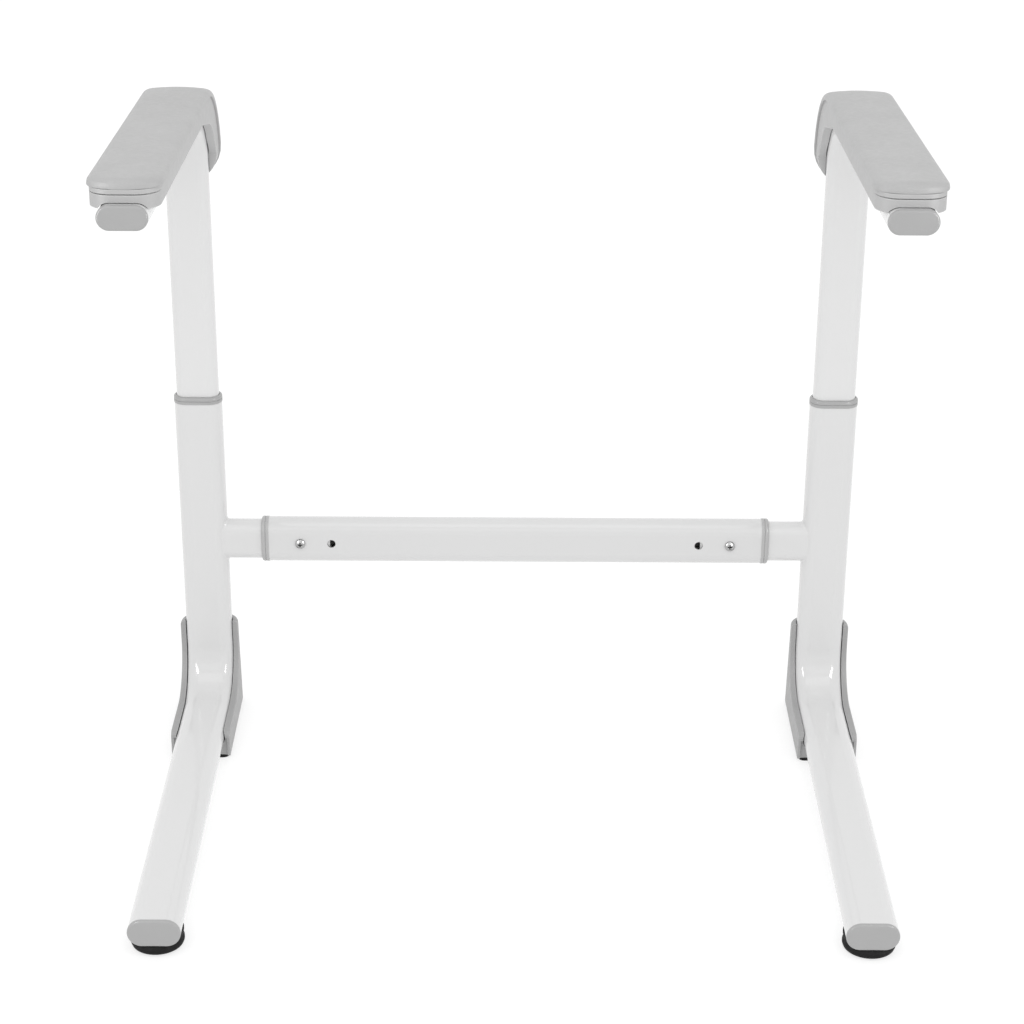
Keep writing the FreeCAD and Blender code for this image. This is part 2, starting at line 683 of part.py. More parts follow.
def heel_guard(name, side):
    """Moulded shoe that wraps the rear of the lower bend and stands on the floor."""
    body = new_body("heel_guard_" + name, post_x * side)
    half = dim("guard_width") / 2
    low, top = dim("heel_pad_height"), dim("guard_top")
    low_corner, top_corner, lean = 7, 17.5, 2
    sections = []
    for tag, height, heel, corner in (("floor", low, dim("guard_heel"), low_corner),
                                      ("top", top, dim("guard_heel") - lean, top_corner)):
        sketch = new_sketch(body, "XY_Plane", tag + "_section", height)
        turn = half - corner
        inner = heel - corner
        add_outline(sketch, tag, [(-half, -dim("guard_front")), (half, -dim("guard_front")),
                                  (half, inner, turn, inner, corner), (turn, heel),
                                  (-turn, heel, -turn, inner, corner), (-half, inner)])
        sections.append(sketch)
    loft = body.newObject("PartDesign::AdditiveLoft", "shoe")
    loft.Profile = sections[0]
    loft.Sections = [(sections[1], [""])]
    loft.Ruled = True
    body.Tip = loft
    doc.recompute()
    front = new_sketch(body, "YZ_Plane", "lip_line")
    lip_post, lip_radius = 3, 45
    lip_foot = dim("foot_axis") + dim("guard_lip")
    away = dim("guard_front") + 20
    turn_y, turn_z = -lip_post - lip_radius, lip_foot + lip_radius
    add_outline(front, "lip", [(-lip_post, turn_z, turn_y, turn_z, lip_radius), (turn_y, lip_foot),
                               (-away, lip_foot), (-away, top + 20), (-lip_post, top + 20)])
    pocket(body, "open_front", front, dim("guard_width") * 2, middle=True)
    front_y = -dim("guard_front").value
    toe_radius, top_radius = 6, 4.2
    round_edges(body, "toe", toe_radius, lambda point, edge: along_axis(edge, 0)
                and abs(point.y - front_y) < 0.1 and point.z > lip_foot.value - 0.1)
    round_edges(body, "top_edge", top_radius, lambda point, edge: abs(point.z - top.value) < 0.05
                and point.y > -lip_post + 0.1)
    channel = new_sketch(body, "XY_Plane", "channel_section", top + 10)
    gap = dim("shadow_gap") * 2
    add_obround(channel, "channel", dim("lower_width") + gap, dim("lower_depth") + dim("press_gap") * 2)
    spine = foot_path(body, "channel_path", top + 10, dim("guard_front") + 10)
    pipe(body, "channel", channel, spine, "SubtractivePipe")
    mouth = new_sketch(body, "XZ_Plane", "mouth_outline", dim("guard_front"))
    wall, mouth_depth = 2.6, 2
    add_rectangle(mouth, "mouth", -half + wall, low - 1, half - wall, dim("foot_axis"))
    pocket(body, "mouth", mouth, mouth_depth)
    return body


def guard_screw_holes(body):
    """Counterbored holes for the two screws that hold the guard to its tube."""
    low, heel = dim("heel_pad_height"), dim("guard_heel")
    hole, counterbore = dim("guard_thread") + 0.3, dim("guard_head") + 0.8
    rear = new_sketch(body, "XZ_Plane", "rear_hole", -heel - 5)
    add_circle(rear, "clearance", hole, 0, dim("guard_screw_height"))
    pocket(body, "rear_clearance", rear, heel, reverse=True)
    seat = new_sketch(body, "XZ_Plane", "rear_seat", -heel - 5)
    add_circle(seat, "seat", counterbore, 0, dim("guard_screw_height"))
    pocket(body, "rear_counterbore", seat, heel + 5 - rear_seat, reverse=True)
    under = new_sketch(body, "XY_Plane", "under_hole", low - 1)
    add_circle(under, "clearance", hole, 0, -dim("guard_screw_forward"))
    pocket(body, "under_clearance", under, dim("foot_axis"), reverse=True)
    seat = new_sketch(body, "XY_Plane", "under_seat", low - 1)
    add_circle(seat, "seat", counterbore, 0, -dim("guard_screw_forward"))
    pocket(body, "under_counterbore", seat, under_seat - low + 1, reverse=True)


def guard_screws(name, side):
    """The two small screws of one heel guard."""
    kind = ("guard_head", "guard_head_depth", "guard_thread")
    length = 9
    rear = pan_screw("guard_rear_screw_" + name, length, kind=kind)
    place(rear, post_x * side, rear_seat, dim("guard_screw_height"), FACING_BACK)
    under = pan_screw("guard_under_screw_" + name, length, kind=kind)
    place(under, post_x * side, -dim("guard_screw_forward"), under_seat, FACING_DOWN)
    one_node("guard_screws_" + name, [rear, under])


def heel_rubber(name, side):
    """Rubber sole under the heel guard."""
    body = new_body("heel_pad_" + name, post_x * side)
    inset, corner = 1.5, 6
    half = dim("guard_width") / 2 - inset
    sketch = new_sketch(body, "XY_Plane", "outline")
    add_rectangle(sketch, "sole", -half, -dim("guard_front") + inset, half, dim("guard_heel") - inset)
    pad(body, "sole", sketch, dim("heel_pad_height"))
    round_edges(body, "corners", corner, lambda point, edge: along_axis(edge, 2))
    rows, first, pitch, tread, tread_depth = 6, 16, 18, 2, 1
    treads = new_sketch(body, "XY_Plane", "tread_outline")
    for row in range(rows):
        y = -dim("guard_front") + first + row * pitch
        add_rectangle(treads, "groove_%d" % row, -half - 1, y, half + 1, y + tread)
    pocket(body, "treads", treads, tread_depth, reverse=True)


def rubber_foot(name, side):
    """Turned rubber foot with a waist and a saddle that cups the foot tube."""
    body = new_body("rubber_foot_" + name)
    widest, waist, sole = 22.6, 21.2, 19
    saddle = dim("foot_axis") - 7.5
    half = new_sketch(body, "XZ_Plane", "half_section")
    add_outline(half, "profile", [(0, 0), (sole, 0), (widest - 0.8, 1.6), (widest, 3.6),
                                  (widest, 5.4), (waist, 8), (waist, 10), (widest - 0.3, 12),
                                  (widest - 0.3, saddle), (0, saddle)])
    revolve(body, "turned", half)
    tube = new_sketch(body, "XZ_Plane", "tube_outline", widest + 5)
    add_obround(tube, "tube", dim("lower_width") + 0.2, dim("lower_depth") + 0.2, 0, dim("foot_axis"))
    pocket(body, "saddle", tube)
    screw_recess, bore_gap, ring_outside, ring_inside = 13, 0.4, 31, 28
    recess = new_sketch(body, "XY_Plane", "recess_outline")
    add_circle(recess, "recess", screw_recess)
    pocket(body, "screw_recess", recess, dim("foot_screw_seat"), reverse=True)
    bore = new_sketch(body, "XY_Plane", "bore_outline")
    add_circle(bore, "bore", dim("foot_thread") + bore_gap)
    pocket(body, "screw_bore", bore, reverse=True)
    ring = new_sketch(body, "XY_Plane", "tread_outline")
    add_circle(ring, "outside", ring_outside)
    add_circle(ring, "inside", ring_inside)
    pocket(body, "tread", ring, 1, reverse=True)
    place(body, post_x * side, -dim("rubber_foot_place"))


def foot_fastening(name, side):
    """Screw up through the rubber foot and the nut welded inside the tube."""
    screw = new_body("foot_screw_" + name)
    head_width, head_depth, head_edge, spare = 11.5, 2.6, 1.2, 2
    head = new_sketch(screw, "XY_Plane", "head_outline")
    add_circle(head, "head", head_width)
    pad(screw, "head", head, head_depth)
    round_edges(screw, "head_edge", head_edge, lambda point, edge: abs(point.z - head_depth) < 0.01)
    shank = new_sketch(screw, "XY_Plane", "shank_outline")
    add_circle(shank, "shank", dim("foot_thread"))
    tube_floor = dim("foot_axis") - lower_inner_depth / 2
    pad(screw, "shank", shank, tube_floor + dim("foot_nut") - dim("foot_screw_seat") + spare,
        reverse=True)
    socket_radius, socket_depth = 2.3, 1.6
    socket = new_sketch(screw, "XY_Plane", "socket_outline", head_depth)
    add_outline(socket, "hex", hexagon(socket_radius))
    pocket(screw, "socket", socket, socket_depth)
    x, y = post_x * side, -dim("rubber_foot_place")
    place(screw, x, y, dim("foot_screw_seat"), FACING_DOWN)
    nut = new_body("foot_nut_" + name)
    outline = new_sketch(nut, "XY_Plane", "outline")
    nut_radius = 5.8
    add_outline(outline, "hex", hexagon(nut_radius))
    add_circle(outline, "thread", dim("foot_thread") + thread_gap)
    pad(nut, "nut", outline, dim("foot_nut"))
    place(nut, x, y, tube_floor)


def hexagon(radius):
    """Corner points of a hexagon with that corner radius."""
    return [(radius * math.cos(math.radians(60 * i)), radius * math.sin(math.radians(60 * i)))
            for i in range(6)]


# Seats of the guard's screw heads: behind the post's axis, and above the floor.
guard_wall = 3
rear_seat = dim("lower_depth") / 2 + guard_wall
under_seat = dim("foot_axis") - dim("lower_depth") / 2 - guard_wall

for side_name, side_sign in SIDES:
    lower_tube(side_name, side_sign)
    cross_stub(side_name, side_sign)
    weld_bead(side_name, side_sign)
    place(tube_collar("post_collar_" + side_name), post_x * side_sign, 0, dim("lower_top"))
    cap = end_cap("foot_end_cap_" + side_name, dim("lower_width"), dim("lower_depth"), dim("lower_wall"))
    place(cap, post_x * side_sign, -foot_tube_end, dim("foot_axis"), FACING_FRONT)
    guard_screw_holes(heel_guard(side_name, side_sign))
    guard_screws(side_name, side_sign)
    heel_rubber(side_name, side_sign)
    rubber_foot(side_name, side_sign)
    foot_fastening(side_name, side_sign)
    height_screw = pan_screw("height_screw_" + side_name, lock_screw_length, dim("lower_wall"))
    place(height_screw, post_x * side_sign, dim("lower_depth") / 2, dim("height_screw_place"),
          FACING_BACK)
    height_plate = lock_plate("height_lock_plate_" + side_name)
    place(height_plate, post_x * side_sign, plate_face, dim("height_screw_place"), FACING_FRONT)

# ---------------------------------------------------------------- arm frames

arm_tube_end = dim("arm_reach") - dim("cap_flange")
armrest_screw_places = (as_size(105), as_size(285))


def upper_tube(name, side):
    """Inner post and arm, one flat-oval tube that slides in the lower tube."""
    body = new_body("upper_tube_" + name, post_x * side)
    ring = new_sketch(body, "XY_Plane", "section", dim("upper_bottom"))
    add_obround(ring, "outer", dim("upper_width"), dim("upper_depth"))
    add_obround(ring, "inner", upper_inner_width, upper_inner_depth)
    spine = arm_path(body, "path", dim("upper_bottom"), arm_tube_end)
    pipe(body, "tube", ring, spine)
    middle = dim("height_screw_place") - dim("height_travel") / 2
    slot = new_sketch(body, "XZ_Plane", "slot_outline")
    add_obround(slot, "slot", dim("height_travel") + slot_width, slot_width, 0, middle, True)
    pocket(body, "height_slot", slot, dim("upper_depth"))
    seats = new_sketch(body, "XZ_Plane", "seat_outline")
    count = int(dim("height_travel").value / dim("height_pitch").value) + 1
    for step in range(count):
        add_circle(seats, "seat_%d" % step, dim("lock_hole"), 0,
                   dim("height_screw_place") - dim("height_pitch") * step)
    pocket(body, "height_seats", seats, dim("upper_depth"))
    holes = arm_sketch(body, "armrest_holes", dim("upper_depth"))
    for number, forward in enumerate(armrest_screw_places):
        add_circle(holes, "hole_%d" % number, dim("shank_width") + screw_clearance, 0, -forward)
    pocket(body, "armrest_hole", holes, dim("upper_depth") * 2)


def glide_plug(name, side):
    """Plastic foot of the upper tube that runs inside the lower tube."""
    body = new_body("glide_plug_" + name)
    runner_height, plug_height, edge_radius = 3, 20, 1
    runner = new_sketch(body, "XY_Plane", "runner_outline")
    add_obround(runner, "runner", lower_inner_width - dim("running_gap") * 2,
                lower_inner_depth - dim("running_gap") * 2)
    pad(body, "runner", runner, runner_height, reverse=True)
    round_edges(body, "runner_edge", edge_radius,
                lambda point, edge: point.z < 0.1 - runner_height)
    plug = new_sketch(body, "XY_Plane", "plug_outline")
    add_obround(plug, "plug", upper_inner_width - dim("press_gap") * 2,
                upper_inner_depth - dim("press_gap") * 2)
    pad(body, "plug", plug, plug_height)
    place(body, post_x * side, 0, dim("upper_bottom"))


def armrest_back(high, front, drop):
    """The outer line of an armrest layer: along the arm, round the bend and down behind the post."""
    base = dim("arm_bend_base")
    return [arm_point(front, high), bend_point(high) + (bend_x, base, dim("bend_radius") + high),
            (high, base), (high, drop)]


def armrest_block(label, side, width, outline):
    """Solid band over the arm and its bend, from an outline in the side view."""
    body = new_body(label, post_x * side)
    sketch = new_sketch(body, "YZ_Plane", "side_outline")
    add_outline(sketch, "side", outline)
    pad(body, "block", sketch, width, middle=True)
    return body


def round_armrest_ends(body, width, front, drop):
    """Plan corners of the front end and of the lower end behind the post."""
    half = as_size(width).value / 2
    front_y, front_z = [size.value for size in arm_point(front, 0)]

    def at_front(point, edge):
        return abs(abs(point.x) - half) < 0.1 and abs(point.y - front_y) < 3 and point.z > front_z

    def at_drop(point, edge):
        return (abs(abs(point.x) - half) < 0.1 and abs(point.z - as_size(drop).value) < 0.1
                and along_axis(edge, 1))

    round_edges(body, "front_corners", dim("pad_corner"),
                lambda point, edge: at_front(point, edge) and not along_axis(edge, 1, 0.01))
    round_edges(body, "drop_corners", dim("drop_corner"), at_drop)


def armrest_base(name, side):
    """Moulded plastic shell under the cushion, ribbed inside, notched over the tube."""
    low, high = dim("base_low"), dim("base_high")
    front, drop = dim("pad_front"), dim("pad_drop")
    wall, nose = 2.4, dim("pad_corner") + 1
    base, radius = dim("arm_bend_base"), dim("bend_radius")
    # The side walls come down over the sides of the bend and run on beside the post.
    arch = radius - 3
    steep, flat, bend_rise, skirt_start = math.radians(33), math.radians(80), 6, 85
    outline = armrest_back(high, front, drop) + [
        (dim("base_edge"), drop), (dim("base_edge"), base + bend_rise),
        (bend_x + arch * math.cos(steep), base + arch * math.sin(steep), bend_x, base, arch),
        (bend_x + arch * math.cos(flat), base + arch * math.sin(flat)),
        arm_point(skirt_start, low), arm_point(front, low)]
    body = armrest_block("armrest_base_" + name, side, dim("base_width"), outline)
    round_armrest_ends(body, dim("base_width"), front, drop)
    ceiling, rear = high - wall, radius + 4
    hollow = new_sketch(body, "YZ_Plane", "hollow_outline")
    add_outline(hollow, "hollow", [arm_point(front - nose, ceiling), arm_point(rear, ceiling),
                                   arm_point(rear, -radius), arm_point(front - nose, -radius)])
    pocket(body, "hollow", hollow, dim("base_width") - wall * 2, middle=True)
    rib_count, first_rib, rib_pitch, rib = 5, 75, 60, 2
    ribs = new_sketch(body, "YZ_Plane", "rib_outline")
    for number in range(rib_count):
        forward = as_size(first_rib + rib_pitch * number)
        add_outline(ribs, "rib_%d" % number, [arm_point(forward, low), arm_point(forward + rib, low),
                                              arm_point(forward + rib, ceiling + 1),
                                              arm_point(forward, ceiling + 1)])
    pad(body, "ribs", ribs, dim("base_width") - wall, middle=True)
    boss_width = 11
    bosses = arm_sketch(body, "boss_outline", low)
    bores = arm_sketch(body, "bore_outline", low - 1)
    for number, forward in enumerate(armrest_screw_places):
        add_circle(bosses, "boss_%d" % number, boss_width, 0, -forward)
        add_circle(bores, "bore_%d" % number, dim("shank_width") + thread_gap, 0, -forward)
    pad(body, "bosses", bosses, ceiling + 1 - low)
    pocket(body, "bores", bores, high - low - 1, reverse=True)
    channel_bottom = dim("pad_drop") - 90
    channel = new_sketch(body, "XY_Plane", "channel_section", channel_bottom)
    add_obround(channel, "channel", dim("upper_width") + dim("shadow_gap") * 2,
                dim("upper_depth") + dim("running_gap") * 2)
    spine = arm_path(body, "channel_path", channel_bottom, arm_tube_end + 10)
    pipe(body, "channel", channel, spine, "SubtractivePipe")
    notch_gap, notch_depth = dim("shadow_gap") * 1.5, 7
    notch = new_sketch(body, "XZ_Plane", "notch_outline", front + 1)
    add_obround(notch, "notch", dim("upper_width") + notch_gap, dim("upper_depth") + notch_gap,
                0, arm_point(front, 0)[1])
    pocket(body, "notch", notch, notch_depth)
    seam_depth, seam_height = 2, 1
    half, corner = dim("base_width") / 2, dim("pad_corner")
    face, flank = -front + seam_depth, -front + seam_depth + corner
    seam = arm_sketch(body, "seam_outline", dim("base_seam"))
    add_outline(seam, "seam", [(half + 1, -front - 1), (half + 1, flank),
                               (half, flank, half - corner, flank, corner), (half - corner, face),
                               (corner - half, face, corner - half, flank, corner), (-half, flank),
                               (-half - 1, flank), (-half - 1, -front - 1)])
    pocket(body, "seam", seam, seam_height, reverse=True)


def armrest_cushion(name, side):
    """Soft moulded crown of the armrest, wider than its base, over the arm and the bend."""
    low, front, drop = dim("cushion_low"), dim("pad_front") + 1, dim("pad_drop") - 1
    outline = armrest_back(dim("cushion_high"), front, drop) + [
        (low, drop), (low, dim("arm_bend_base"), bend_x, dim("arm_bend_base"), dim("bend_radius") + low),
        bend_point(low), arm_point(front, low)]
    body = armrest_block("armrest_cushion_" + name, side, dim("cushion_width"), outline)
    round_armrest_ends(body, dim("cushion_width"), front, drop)


def armrest_screws(name, side):
    """The two screws that hold the armrest, up through the arm."""
    half, grip = dim("upper_depth") / 2, 7
    screws = []
    for number, forward in enumerate(armrest_screw_places):
        screw = pan_screw("armrest_screw_%s_%d" % (name, number), half * 2 + grip)
        y, z = arm_point(forward, -half)
        place(screw, post_x * side, y, z, Rotation(Vector(1, 0, 0), 180 - math.degrees(slope)))
        screws.append(screw)
    one_node("armrest_screws_" + name, screws)


for side_name, side_sign in SIDES:
    upper_tube(side_name, side_sign)
    glide_plug(side_name, side_sign)
    cap = end_cap("arm_end_cap_" + side_name, dim("upper_width"), dim("upper_depth"), dim("upper_wall"))
    tip_y, tip_z = arm_point(arm_tube_end / rise_cos, 0)
    place(cap, post_x * side_sign, tip_y, tip_z,
          Rotation(Vector(1, 0, 0), 90 - math.degrees(slope)))
    armrest_base(side_name, side_sign)
    armrest_cushion(side_name, side_sign)
    armrest_screws(side_name, side_sign)

# ---------------------------------------------------------------- check and write

doc.recompute()
for item in doc.Objects:
    if "Invalid" in item.State or "Error" in item.State:
        raise RuntimeError("%s is %s" % (item.Name, item.State))
for item in nodes:
    if item.Shape.isNull() or not item.Shape.isValid():
        raise RuntimeError("%s has no valid shape" % item.Label)
os.makedirs("parts", exist_ok=True)
for item in nodes:
    item.Shape.exportStep("parts/%s.step" % item.Label)
print("%d nodes" % len(nodes))
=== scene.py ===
import math

import bmesh
import bpy
from mathutils import Matrix, Vector


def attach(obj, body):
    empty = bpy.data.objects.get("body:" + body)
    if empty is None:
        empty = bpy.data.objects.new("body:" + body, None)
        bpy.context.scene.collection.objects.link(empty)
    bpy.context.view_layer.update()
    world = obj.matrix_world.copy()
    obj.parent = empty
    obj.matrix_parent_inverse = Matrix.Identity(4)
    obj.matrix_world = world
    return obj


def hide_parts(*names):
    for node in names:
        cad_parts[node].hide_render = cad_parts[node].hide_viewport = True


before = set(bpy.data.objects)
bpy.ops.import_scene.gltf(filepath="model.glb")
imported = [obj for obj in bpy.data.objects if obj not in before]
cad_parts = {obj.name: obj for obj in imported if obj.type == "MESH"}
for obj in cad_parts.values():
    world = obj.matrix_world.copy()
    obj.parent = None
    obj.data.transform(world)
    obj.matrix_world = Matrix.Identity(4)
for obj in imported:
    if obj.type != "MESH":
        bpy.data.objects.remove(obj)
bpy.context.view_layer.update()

MM = 0.001
SIDES = (("left", -1), ("right", 1))
NOISE_LOW, NOISE_HIGH = 0.3, 0.7


# ------------------------------------------------------------------ materials


class Nodes:
    """A node tree with short calls for the nodes that the materials use."""

    def __init__(self, material):
        material.use_nodes = True
        self.tree = material.node_tree
        self.tree.nodes.clear()
        self.out = self.tree.nodes.new("ShaderNodeOutputMaterial")
        self.shader = self.tree.nodes.new("ShaderNodeBsdfPrincipled")
        self.link(self.shader.outputs[0], self.out.inputs["Surface"])
        place = self.tree.nodes.new("ShaderNodeTexCoord")
        self.place = place.outputs["Object"]

    def link(self, a, b):
        self.tree.links.new(a, b)

    def put(self, socket, value):
        if isinstance(value, bpy.types.NodeSocket):
            self.link(value, socket)
        else:
            socket.default_value = value

    def noise(self, scale, detail=3.0, rough=0.5, place=None):
        node = self.tree.nodes.new("ShaderNodeTexNoise")
        self.link(place or self.place, node.inputs["Vector"])
        node.inputs["Scale"].default_value = scale
        node.inputs["Detail"].default_value = detail
        node.inputs["Roughness"].default_value = rough
        return node.outputs["Fac"]

    def cells(self, scale, feature="F1", output="Distance"):
        node = self.tree.nodes.new("ShaderNodeTexVoronoi")
        node.feature = feature
        self.link(self.place, node.inputs["Vector"])
        node.inputs["Scale"].default_value = scale
        return node.outputs[output]

    def stretched(self, x, y, z):
        node = self.tree.nodes.new("ShaderNodeMapping")
        self.link(self.place, node.inputs["Vector"])
        node.inputs["Scale"].default_value = (x, y, z)
        return node.outputs["Vector"]

    def spread(self, value, low, high, to_low, to_high):
        node = self.tree.nodes.new("ShaderNodeMapRange")
        self.link(value, node.inputs["Value"])
        for name, number in (("From Min", low), ("From Max", high),
                             ("To Min", to_low), ("To Max", to_high)):
            node.inputs[name].default_value = number
        return node.outputs["Result"]

    def varied(self, noise, to_low, to_high):
        """Noise over the range that it mostly fills, spread from one number to another."""
        return self.spread(noise, NOISE_LOW, NOISE_HIGH, to_low, to_high)

    def math(self, kind, a, b):
        node = self.tree.nodes.new("ShaderNodeMath")
        node.operation = kind
        self.put(node.inputs[0], a)
        self.put(node.inputs[1], b)
        return node.outputs[0]

    def mix(self, factor, a, b):
        node = self.tree.nodes.new("ShaderNodeMix")
        node.data_type = "RGBA"
        self.put(node.inputs["Factor"], factor)
        self.put(node.inputs["A"], a)
        self.put(node.inputs["B"], b)
        return node.outputs["Result"]

    def bump(self, height, depth, strength=1.0, under=None):
        node = self.tree.nodes.new("ShaderNodeBump")
        node.inputs["Strength"].default_value = strength
        node.inputs["Distance"].default_value = depth
        self.link(height, node.inputs["Height"])
        if under is not None:
            self.link(under, node.inputs["Normal"])
        return node.outputs["Normal"]

    def open_to_air(self, reach):
        """One on an open face, towards zero in a recess or beside a wall."""
        node = self.tree.nodes.new("ShaderNodeAmbientOcclusion")
        node.samples = 8
        node.inputs["Distance"].default_value = reach
        return node.outputs["AO"]

    def rounded(self, radius):
        """Edges that look rounded, where the solid's own are sharp."""
        node = self.tree.nodes.new("ShaderNodeBevel")
        node.samples = 6
        node.inputs["Radius"].default_value = radius
        return node.outputs["Normal"]

    def edges(self, radius):
        """Zero on open faces, one on rounded edges, where a painted highlight goes."""
        true = self.tree.nodes.new("ShaderNodeNewGeometry").outputs["True Normal"]
        node = self.tree.nodes.new("ShaderNodeVectorMath")
        node.operation = "DOT_PRODUCT"
        self.link(self.rounded(radius), node.inputs[0])
        self.link(true, node.inputs[1])
        return self.spread(node.outputs["Value"], 0.8, 0.985, 1, 0)


def grey(value, tint=0.0):
    return (value, value * (1 + tint), value * (1 + tint * 1.6), 1)


def powder_coat(name, value):
    """Glossy white powder coat: faint orange peel, a little unevenness in gloss and shade."""
    roughness = 0.34
    material = bpy.data.materials.new(name)
    n = Nodes(material)
    shade = n.spread(n.noise(7, 3), 0.35, 0.65, 0, 1)
    n.link(n.mix(shade, grey(value * 0.992), grey(value)), n.shader.inputs["Base Color"])
    n.link(n.varied(n.noise(40, 2), roughness - 0.03, roughness + 0.04),
           n.shader.inputs["Roughness"])
    n.shader.inputs["Specular IOR Level"].default_value = 0.1
    n.shader.inputs["Coat Weight"].default_value = 1.0
    n.shader.inputs["Coat Roughness"].default_value = 0.08
    n.link(n.bump(n.noise(330, 1, 0.3), 0.00003, 0.25), n.shader.inputs["Normal"])
    return material


def moulded(name, value, roughness=0.48, gloss=0.0):
    """Satin moulded plastic: a fine spark-eroded grain, faint flow marks and paler edges, a painted
    highlight.
    """
    grain_scale, grain_depth, edge_radius, painted_highlight_width = 1900, 0.00006, 0.0008, 0.0016
    material = bpy.data.materials.new(name)
    n = Nodes(material)
    flow = n.noise(14, 5, 0.6, n.stretched(1, 0.35, 1))
    body = n.mix(n.varied(flow, 0, 1), grey(value * 0.965), grey(value * 1.015))
    # Painted highlight: rounded edges are mixed towards a paler grey.
    n.link(n.mix(n.edges(painted_highlight_width), body, grey(value * 1.35)), n.shader.inputs["Base Color"])
    n.link(n.varied(n.noise(150, 4), roughness - 0.07, roughness + 0.07),
           n.shader.inputs["Roughness"])
    n.shader.inputs["Specular IOR Level"].default_value = 0.3
    n.shader.inputs["Coat Weight"].default_value = gloss
    n.shader.inputs["Coat Roughness"].default_value = 0.12
    coarse = n.math("MULTIPLY", n.noise(grain_scale * 0.3, 2), 0.6)
    speck = n.math("ADD", n.noise(grain_scale, 2, 0.6), coarse)
    n.link(n.bump(speck, grain_depth, 0.55, n.rounded(edge_radius)), n.shader.inputs["Normal"])
    return material


def soft_skin(name, value):
    """Skin of moulded foam: a fine leather-like pebble, soft sheen and slight clouding."""
    material = bpy.data.materials.new(name)
    n = Nodes(material)
    cloud = n.noise(22, 5, 0.6)
    pebble = n.cells(820, "SMOOTH_F1")
    dark = n.mix(n.varied(cloud, 0, 1), grey(value * 0.95), grey(value * 1.03))
    pits = n.spread(pebble, 0.15, 0.75, 0, 0.14)
    n.link(n.mix(pits, dark, grey(value * 0.72)), n.shader.inputs["Base Color"])
    n.link(n.varied(n.noise(210, 3), 0.46, 0.62), n.shader.inputs["Roughness"])
    n.shader.inputs["Specular IOR Level"].default_value = 0.38
    n.shader.inputs["Sheen Weight"].default_value = 0.08
    n.shader.inputs["Sheen Roughness"].default_value = 0.5
    rough = n.math("ADD", n.math("MULTIPLY", pebble, -0.8),
                   n.math("MULTIPLY", n.noise(2600, 2), 0.35))
    low = n.bump(n.noise(45, 3), 0.0004, 0.25)
    n.link(n.bump(rough, 0.00022, 0.5, low), n.shader.inputs["Normal"])
    return material


def rubber(name):
    """Matt black rubber with dust in its grain."""
    material = bpy.data.materials.new(name)
    n = Nodes(material)
    dust = n.spread(n.noise(70, 5, 0.65), 0.45, 0.75, 0, 0.35)
    n.link(n.mix(dust, grey(0.006), grey(0.022)), n.shader.inputs["Base Color"])
    n.link(n.varied(n.noise(260, 3), 0.55, 0.75), n.shader.inputs["Roughness"])
    n.shader.inputs["Specular IOR Level"].default_value = 0.2
    n.link(n.bump(n.noise(1400, 3, 0.6), 0.00012, 0.6, n.rounded(0.0005)),
           n.shader.inputs["Normal"])
    return material


def plated(name, value=0.62, roughness=0.3):
    """Zinc-plated steel: small spangle, fine marks, and painted shade, near black, where air hardly
    reaches.
    """
    recess = 0.003
    material = bpy.data.materials.new(name)
    n = Nodes(material)
    spangle = n.cells(900, "F1", "Color")
    metal = n.mix(n.spread(spangle, 0, 1, 0, 0.25), grey(value), grey(value * 0.8))
    # Painted shade: near black is mixed in where ambient occlusion finds a recess or a wall close
    # by.
    n.link(n.mix(n.spread(n.open_to_air(recess), 0.4, 0.9, 0, 1), grey(0.02), metal),
           n.shader.inputs["Base Color"])
    n.shader.inputs["Metallic"].default_value = 1.0
    n.link(n.varied(n.noise(400, 3), roughness - 0.08, roughness + 0.12),
           n.shader.inputs["Roughness"])
    n.link(n.bump(n.noise(1800, 3), 0.00004, 0.5, n.rounded(0.0003)), n.shader.inputs["Normal"])
    return material


# One white powder coat in three copies: the arms' copy is painted lighter and the crossbar's
# darker, standing in for light and shade.
paint = powder_coat("white_powder_coat", 0.666)
arm_paint_lit_copy = powder_coat("arm_powder_coat_lit_copy", 0.693)
bar_paint_shaded_copy = powder_coat("crossbar_powder_coat_shaded_copy", 0.64)
plastic = moulded("grey_white_plastic", 0.372, 0.42, 0.25)
# The crossbar collars get a lighter copy of the grey plastic, painted light against the shade they
# stand in.
collar = moulded("crossbar_collar_lit_copy", 0.42, 0.42, 0.25)
guard = moulded("guard_plastic", 0.36)
shell = moulded("armrest_plastic", 0.45, 0.5)
skin = soft_skin("armrest_skin", 0.425)
black = rubber("black_rubber")
zinc = plated("zinc_plated_steel")
screw = plated("lock_screw_steel", 0.42, 0.26)

LOOKS = {
    "crossbar_sleeve": bar_paint_shaded_copy, "lower_tube": paint, "cross_stub": paint, "weld_bead": paint,
    "upper_tube": arm_paint_lit_copy, "crossbar_collar": collar, "post_collar": plastic,
    "foot_end_cap": plastic, "arm_end_cap": plastic, "heel_guard": guard, "glide_plug": plastic,
    "armrest_base": shell, "heel_pad": black, "rubber_foot": black, "guard_screws": zinc,
    "foot_screw": zinc, "foot_nut": zinc, "height_lock_plate": zinc, "width_lock_plate": zinc,
    "height_screw": screw, "width_screw": screw, "armrest_screws": zinc,
}
for name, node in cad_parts.items():
    kind = name.removesuffix("_left").removesuffix("_right")
    if kind in LOOKS:
        node.data.materials.clear()
        node.data.materials.append(LOOKS[kind])


# ------------------------------------------------------------------ armrest cushions

POST_X = 300
POST_Y = 204
BEND_RADIUS = 50
BEND_BASE = 560
RISE = math.radians(2.2)
ARM_ORIGIN = (BEND_BASE + BEND_RADIUS * math.cos(RISE)
              - (BEND_RADIUS - BEND_RADIUS * math.sin(RISE)) * math.tan(RISE))
CUSHION_FRONT = 369.4
CUSHION_END = 540.5
CUSHION_HALF = 29.5
STRAIGHT = CUSHION_FRONT - BEND_RADIUS * (1 - math.sin(RISE)) / math.cos(RISE)
TURN = math.pi / 2 - RISE
